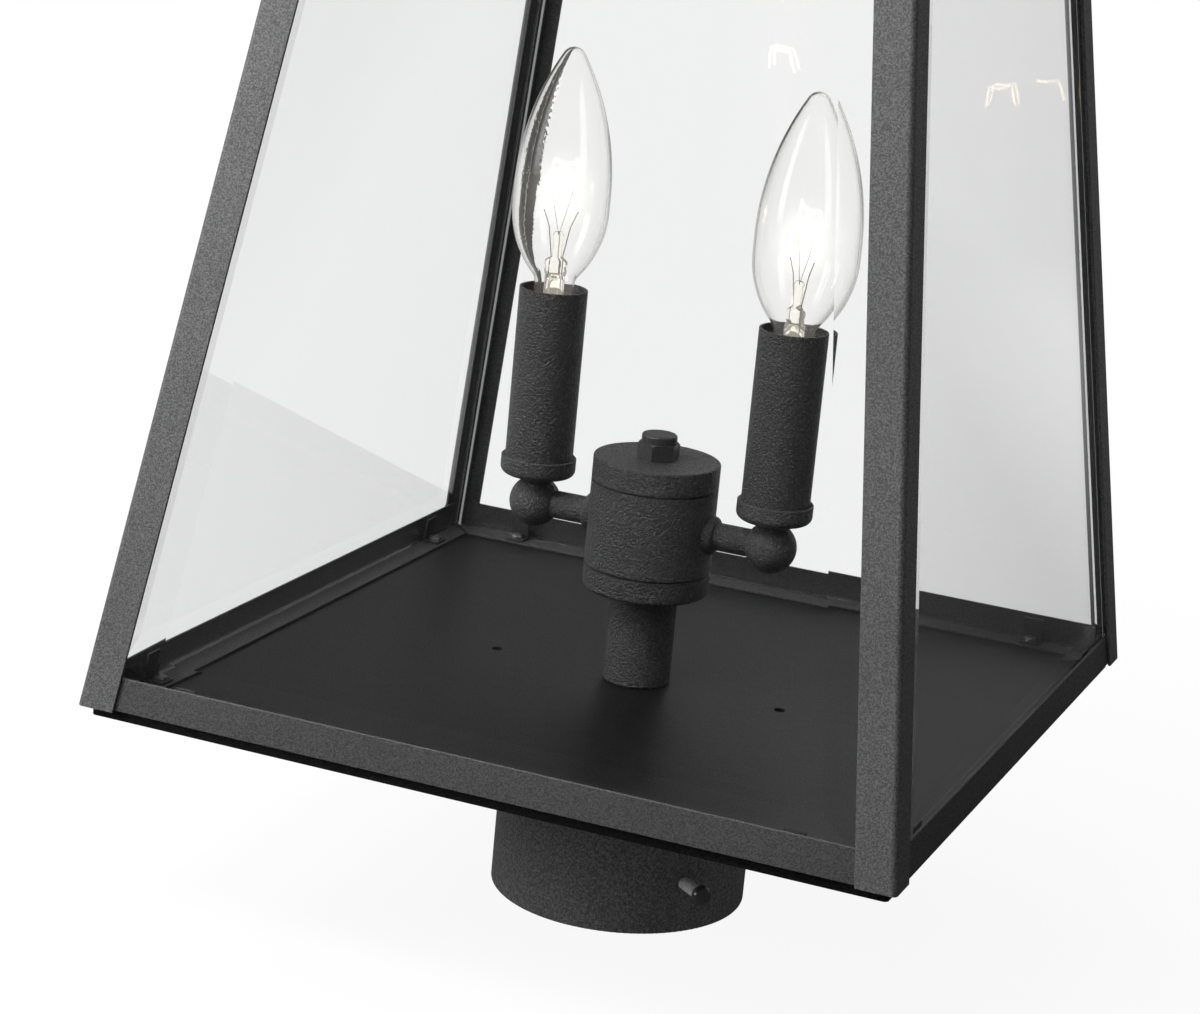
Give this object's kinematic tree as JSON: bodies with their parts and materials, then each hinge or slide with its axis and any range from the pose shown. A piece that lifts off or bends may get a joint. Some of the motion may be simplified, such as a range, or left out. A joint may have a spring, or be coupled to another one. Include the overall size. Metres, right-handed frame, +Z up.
{
  "type": "post top lantern",
  "caption": "Square tapered post lantern with leaning bevelled panes, candle cluster, lift-off hood and a round slip-over post fitter.",
  "frame": {"origin": "centre of the fitter's lower rim, the bottom of the lantern", "axes": "+Z up along the post, the two arms along X, the front pane faces -Y"},
  "size_m": [0.254, 0.254, 0.4713],
  "materials": {
    "textured_black": "fine sandy powder coat, matt",
    "satin_black": "fine textured powder coat, satin",
    "candle_black": "satin paint over thin tube",
    "clip_black": "satin paint on spring steel",
    "pane_glass": "clear plate, polished bevels",
    "bulb_glass": "clear blown glass",
    "filament": "tungsten coil, lit",
    "shell_brass": "pressed, satin",
    "bulb_brass": "rolled thread, bright",
    "socket_moulding": "heat-proof moulding, matt",
    "screw_steel": "bright zinc thread",
    "zinc_steel": "zinc plated"
  },
  "bodies": {
    "lantern": {"arm_left": "satin_black", "arm_right": "satin_black", "base_pan": "textured_black", "bottom_rail_back": "textured_black", "bottom_rail_front": "textured_black", "bottom_rail_left": "textured_black", "bottom_rail_right": "textured_black", "clip_screws": "zinc_steel", "cross_strap": "textured_black", "cup_left": "satin_black", "cup_right": "satin_black", "fitter": "textured_black", "glass_clips": "clip_black", "hub_body": "satin_black", "hub_bottom_cap": "satin_black", "hub_cap_nut": "satin_black", "hub_top_cap": "satin_black", "nipple": "zinc_steel", "pane_back": "pane_glass", "pane_front": "pane_glass", "pane_left": "pane_glass", "pane_right": "pane_glass", "post_back_left": "textured_black", "post_back_right": "textured_black", "post_front_left": "textured_black", "post_front_right": "textured_black", "roof_stud": "zinc_steel", "sleeve_left": "candle_black", "sleeve_right": "candle_black", "socket_left": "socket_moulding", "socket_right": "socket_moulding", "socket_shell_left": "shell_brass", "socket_shell_right": "shell_brass", "stem": "satin_black", "stem_lock_nut": "zinc_steel", "strap_screws": "zinc_steel", "stud_nuts": "zinc_steel", "top_rail_back": "textured_black", "top_rail_front": "textured_black", "top_rail_left": "textured_black", "top_rail_right": "textured_black"},
    "roof": {"roof": "textured_black", "roof_cap": "textured_black"},
    "finial": {"finial": "textured_black"},
    "bulb_left": {"bulb_base_left": "bulb_brass", "bulb_glass_left": "bulb_glass", "bulb_mount_left": "bulb_glass", "filament_left": "filament"},
    "bulb_right": {"bulb_base_right": "bulb_brass", "bulb_glass_right": "bulb_glass", "bulb_mount_right": "bulb_glass", "filament_right": "filament"},
    "set_screw_1": {"set_screw_1": "screw_steel"},
    "set_screw_2": {"set_screw_2": "screw_steel"}
  },
  "joints": [
    {"name": "roof_lift", "type": "slide", "parent": "lantern", "child": "roof", "axis": [0, 0, 1], "range_m": [0, 0.1]},
    {"name": "finial_unscrew", "type": "slide", "parent": "roof", "child": "finial", "axis": [0, 0, 1], "range_m": [0, 0.03]},
    {"name": "bulb_left_unscrew", "type": "slide", "parent": "lantern", "child": "bulb_left", "axis": [0, 0, 1], "range_m": [0, 0.035]},
    {"name": "bulb_right_unscrew", "type": "slide", "parent": "lantern", "child": "bulb_right", "axis": [0, 0, 1], "range_m": [0, 0.035]},
    {"name": "set_screw_1_travel", "type": "slide", "parent": "lantern", "child": "set_screw_1", "axis": [-0.7771, 0.6293, 0], "range_m": [0, 0.004]},
    {"name": "set_screw_2_travel", "type": "slide", "parent": "lantern", "child": "set_screw_2", "axis": [0.7771, -0.6293, 0], "range_m": [0, 0.004]}
  ]
}
